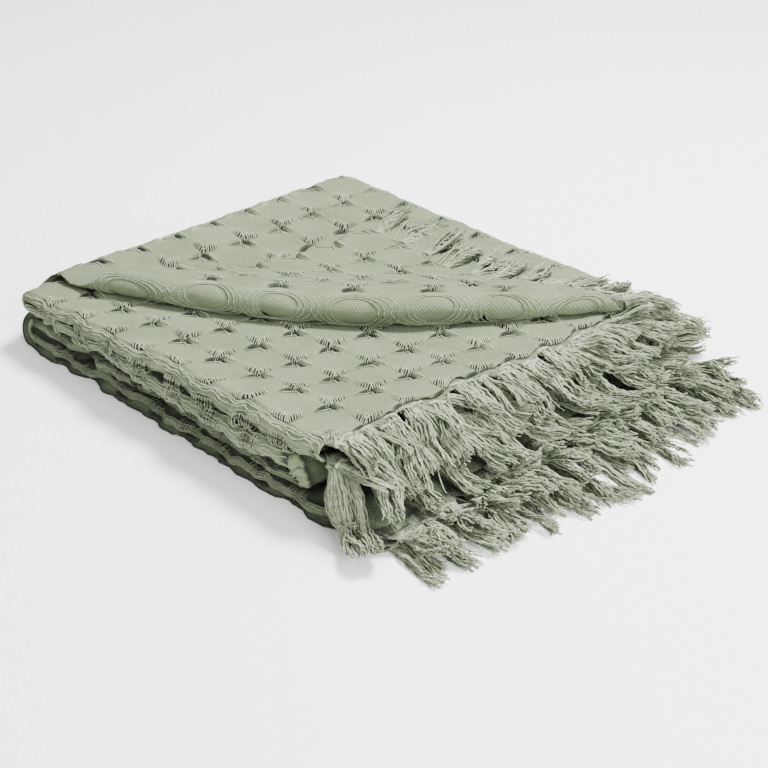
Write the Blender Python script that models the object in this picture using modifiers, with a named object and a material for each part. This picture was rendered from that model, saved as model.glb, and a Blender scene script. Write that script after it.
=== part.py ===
"""A cotton throw in a honeycomb weave with knotted fringe, folded into a pile of twelve layers.

The cloth is one sheet. It is folded in thirds across its width and in quarters along its length,
and the front corner of its top layer is turned back in a soft roll. In plan, x runs from the left
corner to the front corner, y from the left corner to the back corner, and z is up.
"""
import math
import random

import bmesh
import bpy
from mathutils import Vector

MM = 0.001

# The sheet and its weave
SHEET = 2.0 * MM
CELLS = 9                 # puffed cells along one panel, each way
PUFF = 2.4 * MM           # how far a cell stands proud

# The pile in plan
PANEL_WIDTH = 0.433
BACK_X = 0.012            # axis of the two turns on the left-to-back side
FRONT_X = 0.428           # fringed edge of the top layers
BULGE = 0.85              # depth of a fold over half its height
SAG = 0.25                # how much lower the pile's middle is than its sides
ORIGIN = Vector((0.2914, 0.2291, 0.0))   # middle of the whole thing's plan, as folded

# One row for each run of the cloth, from the floor up: the run's front end in x, then in y its
# near selvedge, near fold, far fold and far selvedge
RUN_COLUMNS = ("front", "near_selvedge", "near_fold", "far_fold", "far_selvedge")
RUNS = tuple(dict(zip(RUN_COLUMNS, row)) for row in (
    (0.490, -0.003, 0.005, 0.431, 0.428),
    (0.392, 0.003, 0.008, 0.433, 0.430),
    (0.392, 0.000, -0.001, 0.431, 0.427),
    (0.428, 0.036, 0.000, 0.434, 0.430),
))
TOP_RUN = 3
TOP_SLACK = 0.022         # how much further forward the top layer reaches than the one below it

# One row for each layer, from the floor up: its run, its third of the width, and the height in mm
# of its middle over the pile's left, front, right and back corners
LAYERS = {(run, third): heights for run, third, *heights in (
    (0, 0, 1.0, 1.0, 1.0, 1.0),
    (0, 1, 5.5, 6.0, 5.2, 5.2),
    (0, 2, 10.5, 12.5, 9.3, 9.3),
    (1, 2, 20.5, 16.8, 12.9, 13.1),
    (1, 1, 27.0, 23.0, 16.5, 16.9),
    (1, 0, 33.0, 28.0, 20.1, 20.7),
    (2, 0, 37.5, 33.5, 23.7, 24.5),
    (2, 1, 42.0, 39.0, 27.3, 28.3),
    (2, 2, 46.5, 57.0, 30.9, 32.2),
    (3, 2, 51.5, 61.5, 34.7, 36.1),
    (3, 1, 56.5, 79.0, 38.6, 40.2),
    (3, 0, 65.0, 87.5, 47.0, 49.0),
)}

# The roll of the turned-back corner, which runs along the diagonal from left to right
DIAGONAL = 0.605
ROLL_RADIUS = 0.013
ROLL_RADIUS_ENDS = 0.004
FLAP_REST = 0.0055        # height of the flap's end above the layer that it lies on
FLAP_SETTLE = 0.10        # distance behind the roll over which the flap comes down
FLAP_CROWDING = 0.28      # how much the flap is rumpled together at its right end

# The fringe: one row for each fringed edge, with its run and third, the number, length and fullness
# of its locks, the height at which they come to rest, how far in degrees they splay at the right, and
# how much longer the lock at the front corner is
LOCK_THICKNESS = 3.0 * MM
ROOT_SHARE = 0.0185       # width of a lock's root over the width of its edge
STRIP_WIDTH = 6.0 * MM
GAP = 0.3 * MM
FALL = 0.080
FRINGE_COLUMNS = ("name", "run", "third", "locks", "length", "fullness", "rest", "splay", "corner")
FRINGES = tuple(dict(zip(FRINGE_COLUMNS, row)) for row in (
    ("fringe_floor", 0, 0, 14, 0.084, 1.10, 0.0015, -6.0, 0.0),
    ("fringe_floor_middle", 0, 1, 14, 0.074, 1.15, 0.0060, -2.0, 0.0),
    ("fringe_floor_upper", 0, 2, 14, 0.078, 1.15, 0.0101, 7.0, 0.0),
    ("fringe_top_lower", 3, 2, 14, 0.078, 1.15, 0.0166, 34.0, 0.035),
    ("fringe_top_upper", 3, 1, 14, 0.068, 1.15, 0.0214, 44.0, 0.012),
    ("fringe_turned_back", 3, 0, 12, 0.064, 0.85, 0.0262, 0.0, 0.0),
))
SWAY = 4.0                # how far a lock may turn from its neighbours' way, in degrees
# The turned-back locks point back over the pile, and swing round to the front at the roll's end:
# share of the edge, and heading in degrees
TURNED_HEADINGS = ((0.0, 104.0), (0.80, 84.0), (0.90, 48.0), (1.0, 20.0))
LAST_TURNED = 0.86        # share of the edge beyond which its locks fall to the floor
# Sections along a lock: share of its length, and width
LOCK_SECTIONS = ((0.10, 7.0 * MM), (0.28, 8.5 * MM), (0.60, 15.0 * MM), (0.88, 18.5 * MM), (1.0, 15.0 * MM))

END_MARGIN = 0.012        # share of the edge that is free of strip at each end
EDGE_PARTS = 36           # parts of the top layer's edge, at which the sheet has its points too
ROLL_GAP = 0.9 * MM       # the turned-back strip's gap where the edge climbs the roll
ROLL_SHARES = (0.40, 0.95)
NEAR_SPLAY = 6.0          # how far the locks nearest the front corner turn the other way, in degrees
LOWER_LENGTHS = (0.70, 1.03)   # share of the bottom run's lock length at the front corner, and further on
CORNER_REACH = 0.05       # distance along the edge over which the locks lengthen towards the corner
SIDE_MARGIN = 0.004       # how far past the pile's back-right side a lock starts to fall
TURNED_SETTLE = 0.04      # distance over which a turned-back lock comes down
LOCK_STEP = 0.001

# How finely the flat sheet is divided before it is folded
PANEL_STEPS = 6
FOLD_STEPS = 5
TURN_STEPS = 6
FINE_CUTS = 2 * CELLS // PANEL_STEPS - 1
ROLL_MARGIN = 0.015


def blend(first, second, share):
    return first + (second - first) * share


def clamp(value, low=0.0, high=1.0):
    return max(low, min(high, value))


def ease(share):
    return 0.5 - 0.5 * math.cos(math.pi * clamp(share))


def layer_height(run, third, x, y):
    """Height of a layer's middle over a point of the plan."""
    left, front, right, back = LAYERS[run, third]
    along = clamp(x / FRONT_X)
    across = clamp(y / PANEL_WIDTH)
    height = blend(blend(left, front, along), blend(back, right, along), across)
    dip = 16.0 * along * (1.0 - along) * across * (1.0 - across)
    floor = LAYERS[0, 0][0]
    return (floor + (height - floor) * (1.0 - SAG * dip)) * MM


def section(run, width, x):
    """Plan y and height of one run at x. The width coordinate is 0 to 5: thirds and folds in turn."""
    sizes = RUNS[run]
    stretch = min(int(width), 4)
    share = width - stretch
    ends = (
        (sizes["near_selvedge"], sizes["far_fold"]),
        (sizes["far_fold"], 1.0),
        (sizes["far_fold"], sizes["near_fold"]),
        (sizes["near_fold"], -1.0),
        (sizes["near_fold"], sizes["far_selvedge"]),
    )[stretch]
    if stretch % 2 == 0:
        y = blend(*ends, share)
        return y, layer_height(run, stretch // 2, x, y)
    y, outward = ends
    first = layer_height(run, stretch // 2, x, y)
    second = layer_height(run, stretch // 2 + 1, x, y)
    half = (first - second) / 2.0
    angle = math.pi * share
    return y + outward * BULGE * abs(half) * math.sin(angle), (first + second) / 2.0 + half * math.cos(angle)


def front_of(run, width):
    """Where a run ends in x. The top layer is slack, so it reaches further."""
    slack = TOP_SLACK * (1.0 - width) ** 1.5 if run == TOP_RUN and width < 1.0 else 0.0
    return RUNS[run]["front"] + slack


def crease(along):
    """How far in front of the diagonal the roll starts, at a distance along the diagonal."""
    share = clamp(along / DIAGONAL)
    return -0.012 + 0.022 * share + 0.049 * math.sin(math.pi * share ** 1.15) ** 0.9


def roll_radius(along):
    share = clamp(along / DIAGONAL)
    return blend(ROLL_RADIUS_ENDS, ROLL_RADIUS, math.sin(math.pi * share) ** 0.6)


def turn_back(point):
    """Rolls what lies in front of the crease up and back over the pile."""
    along = (point.x + point.y) / math.sqrt(2.0)
    forward = (point.x - point.y) / math.sqrt(2.0)
    start = crease(along)
    past = forward - start
    if past <= 0.0:
        return point
    radius = roll_radius(along)

    def place(distance):
        return Vector(((along + distance) / math.sqrt(2.0), (along - distance) / math.sqrt(2.0), 0.0))

    angle = past / radius
    if angle < math.pi:
        spot = place(start + radius * math.sin(angle))
        foot = place(start)
        spot.z = layer_height(TOP_RUN, 0, foot.x, foot.y) + radius * (1.0 - math.cos(angle))
        return spot
    crowding = FLAP_CROWDING * ease((along - 0.36) / 0.14)
    behind = (past - math.pi * radius) * (1.0 - crowding)
    spot = place(start - behind)
    above = blend(2.0 * radius, FLAP_REST, ease(behind / FLAP_SETTLE))
    spot.z = layer_height(TOP_RUN, 0, spot.x, spot.y) + above
    return spot


def cloth_point(width, length):
    """The folded place of a point of the cloth. The length coordinate is 0 to 7: runs and turns in turn."""
    stretch = max(0, min(int(math.floor(length)), 6))
    share = length - stretch
    run = stretch // 2
    if stretch % 2 == 0:
        front = front_of(run, width)
        x = blend(front, BACK_X, share) if run % 2 == 0 else blend(BACK_X, front, share)
        y, z = section(run, width, x)
        point = Vector((x, y, z))
        return turn_back(point) if run == TOP_RUN and width < 1.0 else point
    at_back = run != 1
    x = BACK_X if at_back else RUNS[run]["front"]
    lower_y, lower = section(run, width, x)
    upper_y, upper = section(run + 1, width, x)
    half = (upper - lower) / 2.0
    angle = math.pi * share
    reach = BULGE * half * math.sin(angle)
    y = blend(lower_y, upper_y, ease(share))
    return Vector((x - reach if at_back else x + reach, y, lower + half * (1.0 - math.cos(angle))))


def cloth_normal(width, length):
    step = 1e-4
    across = cloth_point(width + step, length) - cloth_point(width - step, length)
    down = cloth_point(width, length + step) - cloth_point(width, length - step)
    return across.cross(down).normalized()


def puff(width, length):
    """Signed height of the weave's cells on the outer side of the top run's two upper layers."""
    if length < 6.0 or width > 3.0:
        return 0.0
    raised = math.sin(math.pi * CELLS * width) ** 2 * math.sin(math.pi * CELLS * (length - 6.0)) ** 2
    if width > 1.0:
        return PUFF * raised * (clamp((width - 2.0) * CELLS) if width > 2.0 else 0.0)
    return PUFF * raised * clamp(past_crease(width, length) / 0.02, -1.0, 1.0)


def material(name, colour):
    result = bpy.data.materials.new(name)
    result.use_nodes = True
    shader = result.node_tree.nodes["Principled BSDF"]
    shader.inputs["Base Color"].default_value = (*colour, 1.0)
    shader.inputs["Roughness"].default_value = 0.9
    shader.inputs["Metallic"].default_value = 0.0
    return result


def add_object(name, shape, finish, collection):
    mesh = bpy.data.meshes.new(name)
    bmesh.ops.translate(shape, verts=shape.verts, vec=-ORIGIN)
    shape.to_mesh(mesh)
    shape.free()
    mesh.materials.append(finish)
    result = bpy.data.objects.new(name, mesh)
    collection.objects.link(result)
    return result


def top_plan(width, length):
    """Where a point of the top layer lies in plan before its corner is turned back."""
    x = blend(BACK_X, front_of(TOP_RUN, width), length - 6.0)
    return x, section(TOP_RUN, width, x)[0]


def past_crease(width, length):
    x, y = top_plan(width, length)
    return (x - y) / math.sqrt(2.0) - crease((x + y) / math.sqrt(2.0))


def flat_sheet():
    """The sheet before folding, in its width and length coordinates."""
    across = (PANEL_STEPS, FOLD_STEPS, PANEL_STEPS, FOLD_STEPS, PANEL_STEPS)
    down = (PANEL_STEPS, TURN_STEPS, PANEL_STEPS, TURN_STEPS, PANEL_STEPS, TURN_STEPS, PANEL_STEPS)
    widths = [0.0] + [i + (k + 1) / count for i, count in enumerate(across) for k in range(count)]
    lengths = [0.0] + [i + (k + 1) / count for i, count in enumerate(down) for k in range(count)]
    sheet = bmesh.new()
    rows = [[sheet.verts.new((width, length, 0.0)) for width in widths] for length in lengths]
    for lower, upper in zip(rows, rows[1:]):
        for i in range(len(widths) - 1):
            sheet.faces.new((lower[i], lower[i + 1], upper[i + 1], upper[i]))
    return sheet


def divide_for_weave(sheet):
    """Divides the top run to half a cell, and the roll to a quarter."""
    close = 1e-5

    def in_top(edge):
        return all(vert.co.y > 6.0 - close for vert in edge.verts)

    def runs_across(edge):
        return abs(edge.verts[0].co.y - edge.verts[1].co.y) < close

    def in_folded_third(edge):
        middle = (edge.verts[0].co.x + edge.verts[1].co.x) / 2.0
        return middle < 1.0 or 2.0 < middle < 3.0

    edges = [edge for edge in sheet.edges if in_top(edge) and (not runs_across(edge) or in_folded_third(edge))]
    bmesh.ops.subdivide_edges(sheet, edges=edges, cuts=FINE_CUTS, use_grid_fill=True)

    rolled = set()
    for face in sheet.faces:
        middle = face.calc_center_median()
        if middle.x < 1.0 and middle.y > 6.0:
            past = past_crease(middle.x, middle.y)
            if -ROLL_MARGIN < past < math.pi * ROLL_RADIUS + ROLL_MARGIN:
                rolled.update(face.edges)
    bmesh.ops.subdivide_edges(sheet, edges=list(rolled), cuts=1, use_grid_fill=True)


def split_along_roll(sheet):
    """Cuts each face of the top layer along the roll's diagonal, so that the roll stays round."""
    for face in list(sheet.faces):
        middle = face.calc_center_median()
        if len(face.verts) == 4 and middle.x < 1.0 and middle.y > 6.0:
            corners = sorted(face.verts, key=lambda vert: vert.co.x / 1.0 + vert.co.y)
            if corners[0] not in [v for edge in corners[3].link_edges for v in edge.verts]:
                bmesh.utils.face_split(face, corners[0], corners[3])
    bmesh.ops.triangulate(sheet, faces=[face for face in sheet.faces if len(face.verts) > 3])


def make_cloth(finish, collection):
    sheet = flat_sheet()
    divide_for_weave(sheet)
    split_along_roll(sheet)
    for vert in sheet.verts:
        width, length = vert.co.x, vert.co.y
        vert.co = cloth_point(width, length) + cloth_normal(width, length) * puff(width, length)
    sheet.normal_update()
    cloth = add_object("cloth", sheet, finish, collection)
    thickness = cloth.modifiers.new("thickness", "SOLIDIFY")
    thickness.thickness = SHEET
    thickness.offset = 0.0
    return cloth


class FringedEdge:
    """One fringed edge of the folded cloth, and the strip and locks that hang from it."""

    def __init__(self, sizes):
        self.sizes = sizes
        self.run = sizes["run"]
        self.first_width = 2.0 * sizes["third"]
        self.end = 7.0 if self.run == TOP_RUN else 0.0
        self.outward = 1.0 if self.run == TOP_RUN else -1.0
        self.on_top_layer = self.run == TOP_RUN and sizes["third"] == 0
        self.upper_side = self.outward if sizes["third"] == 1 else -self.outward
        self.shape = bmesh.new()

    def point(self, share, out):
        """A point of the edge at a share of its third, and out from it as the cloth would go on."""
        width = self.first_width + share
        reach = front_of(self.run, width) - BACK_X
        return cloth_point(width, self.end + self.outward * out / reach)

    def station(self, share):
        """The strip's four corners: inner and outer below, outer and inner above."""
        rolled = self.on_top_layer and ROLL_SHARES[0] < share < ROLL_SHARES[1]
        inner = self.point(share, ROLL_GAP if rolled else GAP)
        outer = self.point(share, STRIP_WIDTH)
        up = cloth_normal(self.first_width + share, self.end) * (self.upper_side * SHEET / 2.0)
        return [self.shape.verts.new(co) for co in (inner - up, outer - up, outer + up, inner + up)]

    def height(self, spot, root, turned):
        """Height at which a lock lies over a point of the plan."""
        height = root.z
        if turned:
            away = (spot - root).to_2d().length
            above = root.z - layer_height(TOP_RUN, 0, root.x, root.y)
            above = blend(above, FLAP_REST, ease(away / TURNED_SETTLE))
            height = layer_height(TOP_RUN, 0, spot.x, spot.y) + above
        beyond = max(spot.x - RUNS[self.run]["front"], spot.y - PANEL_WIDTH - SIDE_MARGIN, 0.0)
        return max(blend(height, self.sizes["rest"], ease(beyond / FALL)), LOCK_THICKNESS / 2.0)

    def heading(self, share, root):
        """The way in which a lock points in plan, as an angle from x."""
        if self.on_top_layer:
            for (low, first), (high, second) in zip(TURNED_HEADINGS, TURNED_HEADINGS[1:]):
                if share <= high:
                    return math.radians(blend(first, second, (share - low) / (high - low)))
        far = clamp(root.y / PANEL_WIDTH)
        return math.radians(self.sizes["splay"] * far ** 3 - NEAR_SPLAY * (1.0 - far) ** 4)

    def lock(self, share, root_corners, sway, length):
        """A lock from the strip's outer side: it gathers in a knot and spreads into a tuft."""
        root = sum((vert.co for vert in root_corners), Vector()) / 4.0
        turned = self.on_top_layer and share < LAST_TURNED
        angle = self.heading(share, root) + sway
        heading = Vector((math.cos(angle), math.sin(angle), 0.0))
        side = Vector((-heading.y, heading.x, 0.0))
        if side.dot(root_corners[1].co - root_corners[0].co) < 0.0:
            side = -side
        ring = root_corners
        place, travelled = root.copy(), 0.0
        for part, width in LOCK_SECTIONS:
            while travelled < part * length:
                before = place
                place = before + heading * LOCK_STEP
                place.z = self.height(place, root, turned)
                travelled += (place - before).length
            thick = side.cross(place - before).normalized() * (LOCK_THICKNESS / 2.0)
            if thick.dot(root_corners[3].co - root_corners[0].co) < 0.0:
                thick = -thick
            half = side * (width * self.sizes["fullness"] / 2.0)
            corners = (place - half - thick, place + half - thick, place + half + thick, place - half + thick)
            new_ring = [self.shape.verts.new(co) for co in corners]
            for k in range(4):
                self.shape.faces.new((ring[k], ring[(k + 1) % 4], new_ring[(k + 1) % 4], new_ring[k]))
            ring = new_ring
        self.shape.faces.new(ring)

    def length(self, y, chance):
        """Length of the lock whose root is at y."""
        result = self.sizes["length"] * chance.uniform(0.9, 1.06)
        if self.run != TOP_RUN:
            result *= blend(*LOWER_LENGTHS, ease(y / PANEL_WIDTH * 2.0))
        return result + self.sizes["corner"] * clamp(1.0 - y / CORNER_REACH)

    def root_shares(self):
        """Where each lock's root starts and ends along the edge."""
        count = self.sizes["locks"]
        if self.on_top_layer:
            pitch = EDGE_PARTS // count
            return [((1 + pitch * k) / EDGE_PARTS, (2 + pitch * k) / EDGE_PARTS) for k in range(count)]
        return [((k + 0.5) / count - ROOT_SHARE / 2.0, (k + 0.5) / count + ROOT_SHARE / 2.0) for k in range(count)]

    def build(self, finish, collection):
        chance = random.Random(self.sizes["name"])
        roots = self.root_shares()
        shares = {END_MARGIN, 1.0 - END_MARGIN}.union(*roots)
        if self.on_top_layer:
            shares.update(k / EDGE_PARTS for k in range(1, EDGE_PARTS))
        stations = [(share, self.station(share)) for share in sorted(shares)]
        for (first, near), (second, far) in zip(stations, stations[1:]):
            for k in range(4):
                if k == 1 and (first, second) in roots:
                    sway = math.radians(chance.uniform(-SWAY, SWAY))
                    length = self.length(near[1].co.y, chance)
                    self.lock((first + second) / 2.0, (near[1], far[1], far[2], near[2]), sway, length)
                else:
                    self.shape.faces.new((near[k], far[k], far[(k + 1) % 4], near[(k + 1) % 4]))
        self.shape.faces.new(stations[0][1])
        self.shape.faces.new(stations[-1][1])
        bmesh.ops.recalc_face_normals(self.shape, faces=self.shape.faces)
        return add_object(self.sizes["name"], self.shape, finish, collection)


def main():
    for item in list(bpy.data.objects):
        bpy.data.objects.remove(item, do_unlink=True)
    throw = bpy.data.collections.new("throw")
    bpy.context.scene.collection.children.link(throw)
    make_cloth(material("sage_cotton", (0.47, 0.52, 0.42)), throw)
    yarn = material("sage_yarn", (0.44, 0.49, 0.39))
    for sizes in FRINGES:
        FringedEdge(sizes).build(yarn, throw)


main()
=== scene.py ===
"""A folded cotton throw in a honeycomb weave, with knotted fringe and one corner turned back.

Plan positions count x from the pile's left corner to its front corner and y from its left corner to
its back corner, in metres. ORIGIN takes them to the model's frame. A place of the cloth is a width of 0
to 5, thirds and folds in turn, and a length of 0 to 7, runs and turns in turn.
"""
import random
from math import cos, exp, floor, hypot, pi, radians, sin, sqrt

import bmesh
import bpy
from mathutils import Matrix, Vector
from mathutils.noise import cell, noise


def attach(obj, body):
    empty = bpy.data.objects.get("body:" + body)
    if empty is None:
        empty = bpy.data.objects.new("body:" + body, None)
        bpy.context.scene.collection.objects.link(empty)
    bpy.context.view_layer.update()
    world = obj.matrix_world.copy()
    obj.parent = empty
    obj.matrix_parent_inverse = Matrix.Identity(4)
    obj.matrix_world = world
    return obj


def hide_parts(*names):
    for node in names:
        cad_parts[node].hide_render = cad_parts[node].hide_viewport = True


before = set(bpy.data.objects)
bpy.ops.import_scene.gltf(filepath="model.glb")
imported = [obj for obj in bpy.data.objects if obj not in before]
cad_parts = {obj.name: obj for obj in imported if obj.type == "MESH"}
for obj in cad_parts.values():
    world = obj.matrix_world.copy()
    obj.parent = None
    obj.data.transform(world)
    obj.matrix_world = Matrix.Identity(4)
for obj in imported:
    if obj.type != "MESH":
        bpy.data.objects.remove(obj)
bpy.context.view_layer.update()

MM = 0.001


def mm(*values):
    return tuple(value * MM for value in values)


ORIGIN = Vector((0.2914, 0.2291, 0.0))

# The pile, as in the model's solids
SHEET = 2.0 * MM
CELLS = 9
CELLS_OF_RUN = (10, 8, 8, 9)
CELLS_OF_FLAP = 8         # the turned-back third of the top run has larger cells, drawn out by the roll
PANEL_WIDTH = 0.433
BACK_X = 0.012
FRONT_X = 0.428
BULGE = 0.85
SAG = 0.25
RUN_COLUMNS = ("front", "near_selvedge", "near_fold", "far_fold", "far_selvedge")
RUNS = tuple(dict(zip(RUN_COLUMNS, row)) for row in (
    (0.490, -0.003, 0.005, 0.431, 0.428),
    (0.392, 0.003, 0.008, 0.433, 0.430),
    (0.392, 0.000, -0.001, 0.431, 0.427),
    (0.428, 0.036, 0.000, 0.434, 0.430),
))
TOP_RUN = 3
TOP_SLACK = 0.022
LAYERS = {(run, third): heights for run, third, *heights in (
    (0, 0, 1.0, 1.0, 1.0, 1.0),
    (0, 1, 5.5, 6.0, 5.2, 5.2),
    (0, 2, 10.5, 12.5, 9.3, 9.3),
    (1, 2, 20.5, 16.8, 12.9, 13.1),
    (1, 1, 27.0, 23.0, 16.5, 16.9),
    (1, 0, 33.0, 28.0, 20.1, 20.7),
    (2, 0, 37.5, 33.5, 23.7, 24.5),
    (2, 1, 42.0, 39.0, 27.3, 28.3),
    (2, 2, 46.5, 57.0, 30.9, 32.2),
    (3, 2, 51.5, 61.5, 34.7, 36.1),
    (3, 1, 56.5, 79.0, 38.6, 40.2),
    (3, 0, 65.0, 87.5, 47.0, 49.0),
)}
DIAGONAL = 0.605
ROLL_RADIUS = 0.013
ROLL_RADIUS_ENDS = 0.004
FLAP_REST = 0.0055
FLAP_SETTLE = 0.10
FLAP_CROWDING = 0.28      # how much the turned-back cloth crowds at its right, and where
CROWDED_FROM = 0.36
CROWDED_OVER = 0.14
CREASE = (-0.012, 0.022, 0.049)   # the crease in front of the diagonal: its left end, rise and bow
TURNED_PAST = 0.004       # distance past the crease from which the cloth's other side shows
ROOT_TWO = sqrt(2.0)

# The fringe, as in the solids. Rest is the height of a lock's end, and splay its heading at the far
# corner, in degrees. Then come the yarns of a lock, the loose yarns between the locks, the short locks
# over the long ones, half the width of a tuft, the share of it at the knot, how far locks turn aside in
# degrees, how far they bend, and the ranges of their ends' lift, of the distance over which they fall,
# and of how far their ends stand off
LOCK_THICKNESS = 3.0 * MM
FRINGE_COLUMNS = (
    "name", "run", "third", "locks", "length", "rest", "splay",
    "yarns", "loose", "shorts", "spread", "neck", "sway", "bend", "lift", "fall", "flick",
)
FRINGES = tuple(dict(zip(FRINGE_COLUMNS, row)) for row in (
    ("fringe_floor", 0, 0, 14, 0.092, 0.0015, -6.0,
     34, 4, 0, 6.5 * MM, 0.35, 8.0, 8.0 * MM, (0.0, 0.001), (0.08, 0.08), (0.0, 0.0)),
    ("fringe_floor_middle", 0, 1, 14, 0.080, 0.0040, -2.0,
     36, 8, 4, 7.5 * MM, 0.4, 10.0, 8.0 * MM, (0.0, 0.005), (0.05, 0.08), mm(0.0, 3.0)),
    ("fringe_floor_upper", 0, 2, 14, 0.070, 0.0080, 7.0,
     38, 14, 20, 10.5 * MM, 0.5, 16.0, 8.0 * MM, (0.0, 0.012), (0.05, 0.08), mm(2.0, 9.0)),
    ("fringe_top_lower", 3, 2, 15, 0.090, 0.0130, 34.0,
     40, 18, 25, 10.5 * MM, 0.5, 17.0, 12.0 * MM, (0.0, 0.012), (0.050, 0.090), mm(3.0, 11.0)),
    ("fringe_top_upper", 3, 1, 15, 0.072, 0.0240, 44.0,
     40, 18, 26, 10.5 * MM, 0.5, 17.0, 12.0 * MM, (0.0, 0.012), (0.050, 0.090), mm(3.0, 11.0)),
    ("fringe_turned_back", 3, 0, 12, 0.064, 0.0262, 0.0,
     40, 16, 0, 10.5 * MM, 0.3, 8.0, 4.0 * MM, (0.0, 0.002), (0.08, 0.08), mm(1.0, 4.0)),
))
SHORT_LENGTH = (0.46, 0.72)   # of the short locks, over that of the long ones
SHORT_YARNS = 0.75        # of the short locks, over those of the long ones
SHORT_RISE = 5.0 * MM     # of the short locks over the long ones
PATH_STEP = 4.0 * MM      # between the points of a yarn
TURNED_HEADINGS = ((0.0, 104.0), (0.80, 84.0), (0.90, 48.0), (1.0, 20.0))   # at shares of the edge
LAST_TURNED = 0.86        # share of the turned-back edge up to which its locks lie on the pile
EDGE_PARTS = 36           # into which the solids divide that edge
NEAR_SPLAY = 6.0          # degrees by which the locks at the near corner head the other way
LEAST_HEADING = -18.0     # degrees
LOWER_LENGTHS = (0.70, 1.03)   # of the locks that lie on the floor, at the near corner and beyond
SIDE_MARGIN = 0.004       # past the pile's far side before a lock falls
TURNED_SETTLE = 0.04      # distance over which a turned-back lock comes down on the pile
CLUMPS = 4                # parts into which a lock's tuft divides
CLUMP_SIZE = mm(2.4, 3.8)   # half the breadth of a clump at the knot and in the tuft
CLUMP_LAYER = 4.0 * MM
YARN_START = (0.002, 0.012)   # how far back from the edge a yarn starts
YARN_RADIUS = (0.75, 1.05)    # in millimetres
ROOT_PAINTED_SHADES = [0.55, 0.65, 0.45]   # painted shade of a yarn at its first points, at the cloth's edge
STRAY = 3.8 * MM          # of the yarns' ends, aside and up
CURL = 3.0 * MM
KNOT_AT = 0.006           # distance from the root of a lock to the middle of its knot
KNOT_RINGS = 2            # turns of yarn in the knot
OPENS_OVER = 0.026        # distance past the knot over which the tuft opens
FRAY_FROM = 0.66          # share of a lock's length past which its yarns fray
FRAY_OVER = 0.36
STRIDE = 0.0005           # by which a lock's path is followed
CLEAR_OF_FLOOR = 0.8 * MM

# The large locks that hang over the front and right corners: the edge that they belong to, where their
# root is on it, their length, heading in degrees, fall, half width and number of yarns
CORNER_REACH = 0.026
CORNER_LOCKS = (
    ("fringe_top_upper", 0.034, 0.066, -28.0, 0.045, 15.0 * MM, 80),
    ("fringe_top_lower", 0.040, 0.101, -26.0, 0.045, 13.0 * MM, 80),
    ("fringe_top_lower", 0.016, 0.066, -34.0, 0.032, 9.0 * MM, 60),
    ("fringe_top_upper", 0.940, 0.076, 40.0, 0.050, 13.0 * MM, 60),
    ("fringe_top_upper", 0.985, 0.070, 52.0, 0.050, 12.0 * MM, 60),
    ("fringe_top_lower", 0.900, 0.084, 16.0, 0.036, 13.0 * MM, 60),
    ("fringe_top_lower", 0.955, 0.086, 24.0, 0.034, 13.0 * MM, 60),
    ("fringe_top_lower", 0.990, 0.078, 36.0, 0.036, 12.0 * MM, 60),
)

# The weave's relief. Shares are of a cell's side
WARP = 0.16               # how far the cells are drawn out of square
FINE_WARP = 0.05
PUFF = 4.2 * MM
DIMPLE = 0.30             # reach of the dimple at a cell's far corner
VALLEY = 0.05             # share of the puff by which the borders lie lower
SLIT = 5.5 * MM           # depth of the slits beside a cell's far corner
LONG_SLIT = 0.38          # how far one goes along the border towards the left
SHORT_SLIT = 0.32         # how far one goes along the border towards the right, under the long floats
SLIT_AT = 0.035
SLIT_BREADTH = 0.050
GAP_BREADTH = 0.030       # of the painted shade in the slits
HOLE = 0.050              # reach of the hole at a cell's corner
LASH_REACH = 0.38         # how far the floats over the near borders go from the near corner
LASH_DROP = 3.2 * MM      # how far the cloth falls away under them
OVAL = (0.50, 0.30)       # half axes of the ovals on the roll, over a cell's half diagonal
OVAL_PUFF = 1.6 * MM
OVAL_GROOVE = 1.3 * MM
ROLL_PAST = 0.024         # distance round the roll, from the crease, of the middles of its ovals
ROLL_BREADTH = (0.004, 0.043)
ROLL_HOLDS = 0.012        # distance to either side over which the weave follows the roll, and then fades
ROLL_FADES = 0.16
HIDDEN_PUFF = 0.9 * MM    # of the cells inside the pile
FOLD_LENGTH = 0.014       # of a fold, where the pattern runs on over it
SCALLOP = 3.4 * MM        # by which the selvedges are drawn in between the cells
GATHER = (0.35, 0.0, 0.60, 0.0, 0.0)   # how much the points of each third crowd to the cells' borders
RING_PAINTED_SHADE = 0.45        # painted shade in the groove round an oval
BORDER_PAINTED_SHADE = 0.85      # painted shade at the borders of the hidden cells

# For each run: the puff of its folds, how far its combs stand off and sag, and the painted shade of the
# combs and of the yarns along the folds, more on the lower runs
FOLD_PUFF = mm(0.5, 0.5, 0.8, 1.0)
COMB_SLACK = mm(0.8, 0.8, 2.4, 2.6)
COMB_SAG = mm(0.0, 0.0, 2.5, 9.0)
COMB_PAINTED_SHADE = (0.45, 0.35, 0.10, 0.0)
EDGE_LINE_PAINTED_SHADE = (0.45, 0.35, 0.20, 0.10)

# The floats over the cells' borders: steps across the border, heights above the cloth
LASHES = 7
LASH_STEPS = (0.24, 0.17, 0.12, 0.08, 0.04, 0.0, -0.03)
LASH_HEIGHTS = mm(-0.8, 0.0, 0.4, 1.3, 2.1, 1.6, -0.3)

# The yarns round an oval of the roll: reach over the oval's, bulge to the corners, height in millimetres
RINGS = ((1.18, 0.0, 0.6), (1.40, 0.05, 0.4), (1.66, 0.10, 0.2), (1.95, 0.12, 0.1))
RING_STEPS = 32

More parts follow.
